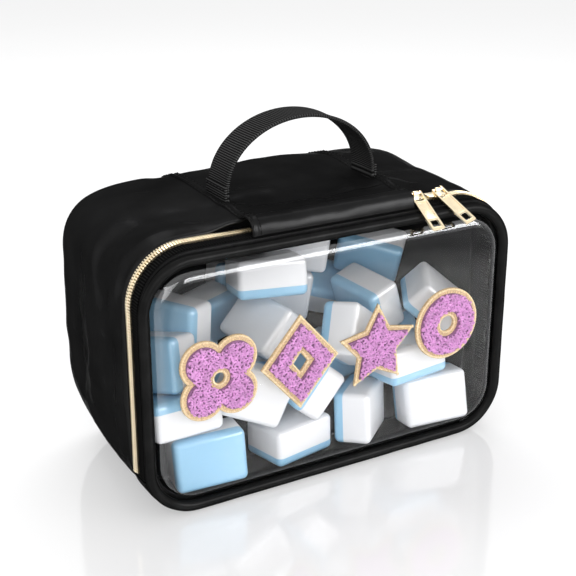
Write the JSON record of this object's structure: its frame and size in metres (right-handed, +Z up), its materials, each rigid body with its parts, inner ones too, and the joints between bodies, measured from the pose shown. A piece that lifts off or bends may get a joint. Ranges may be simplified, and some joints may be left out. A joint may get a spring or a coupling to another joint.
{
  "type": "mahjong case",
  "caption": "Soft padded zip case with a clear front window, a webbing handle on top, and loose two-tone game tiles inside.",
  "frame": {"origin": "middle of the base, on the surface that the case stands on", "axes": "+X along the front to the right as seen from the front, +Y from the front window to the back, +Z up"},
  "size_m": [0.2358, 0.1336, 0.195],
  "materials": {
    "outer_cloth": "smooth coated cloth, satin black",
    "padding": "soft foam sheet",
    "lining_cloth": "plain woven, dark grey",
    "webbing": "ribbed webbing, black",
    "zip_tape": "woven tape, black",
    "zip_metal": "polished, pale gold",
    "clear_vinyl": "clear and glossy",
    "piping_vinyl": "soft shine, black",
    "felt": "stitched felt, gold",
    "chenille": "looped pile, orchid",
    "tile": "polished white with a sky blue back"
  },
  "bodies": {
    "case": {"back_panel": "outer_cloth", "side_panel_left": "outer_cloth", "side_panel_right": "outer_cloth", "top_panel": "outer_cloth", "base_panel": "outer_cloth", "base_gusset": "outer_cloth", "zip_flap": "outer_cloth", "seam_binding_left": "outer_cloth", "seam_binding_right": "outer_cloth", "foam_padding": "padding", "lining": "lining_cloth", "zip_tape_case": "zip_tape", "zip_teeth_case": "zip_metal", "handle_tab_left": "webbing", "handle_tab_right": "webbing", "tile_01": "tile", "tile_02": "tile", "tile_03": "tile", "tile_04": "tile", "tile_05": "tile", "tile_06": "tile", "tile_07": "tile", "tile_08": "tile", "tile_09": "tile", "tile_10": "tile", "tile_11": "tile", "tile_12": "tile", "tile_13": "tile", "tile_14": "tile", "tile_15": "tile", "tile_16": "tile", "tile_17": "tile", "tile_18": "tile", "tile_19": "tile", "tile_20": "tile", "tile_21": "tile", "tile_22": "tile", "tile_23": "tile", "tiles_behind": "tile"},
    "door": {"window_panel": "clear_vinyl", "window_binding": "outer_cloth", "window_piping": "piping_vinyl", "zip_facing": "outer_cloth", "zip_tape_door": "zip_tape", "zip_teeth_door": "zip_metal", "felt_flower": "felt", "pile_flower": "chenille", "felt_diamond": "felt", "pile_diamond": "chenille", "felt_star": "felt", "pile_star": "chenille", "felt_ring": "felt", "pile_ring": "chenille"},
    "slider_left": {"slider_left": "zip_metal"},
    "slider_right": {"slider_right": "zip_metal"},
    "pull_left": {"pull_left": "zip_metal"},
    "pull_right": {"pull_right": "zip_metal"},
    "handle": {"handle_strap": "webbing"}
  },
  "joints": [
    {"name": "door_open", "type": "hinge", "parent": "case", "child": "door", "pos_m": [0, -0.06, 0.00285], "axis": [1, 0, 0], "range_deg": [0, 80]},
    {"name": "slider_left_travel", "type": "slide", "parent": "door", "child": "slider_left", "axis": [-1, 0, 0], "range_m": [0, 0.135]},
    {"name": "slider_right_travel", "type": "slide", "parent": "door", "child": "slider_right", "axis": [1, 0, 0], "range_m": [-0.0025, 0.006]},
    {"name": "pull_left_swing", "type": "hinge", "parent": "slider_left", "child": "pull_left", "pos_m": [0.0555, -0.0504, 0.1509], "axis": [-1, 0, 0], "range_deg": [0, 150]},
    {"name": "pull_right_swing", "type": "hinge", "parent": "slider_right", "child": "pull_right", "pos_m": [0.0705, -0.0504, 0.1509], "axis": [-1, 0, 0], "range_deg": [0, 150]},
    {"name": "handle_flop", "type": "hinge", "parent": "case", "child": "handle", "pos_m": [0.002, -0.009, 0.167], "axis": [1, 0, 0], "range_deg": [-40, 40]}
  ]
}
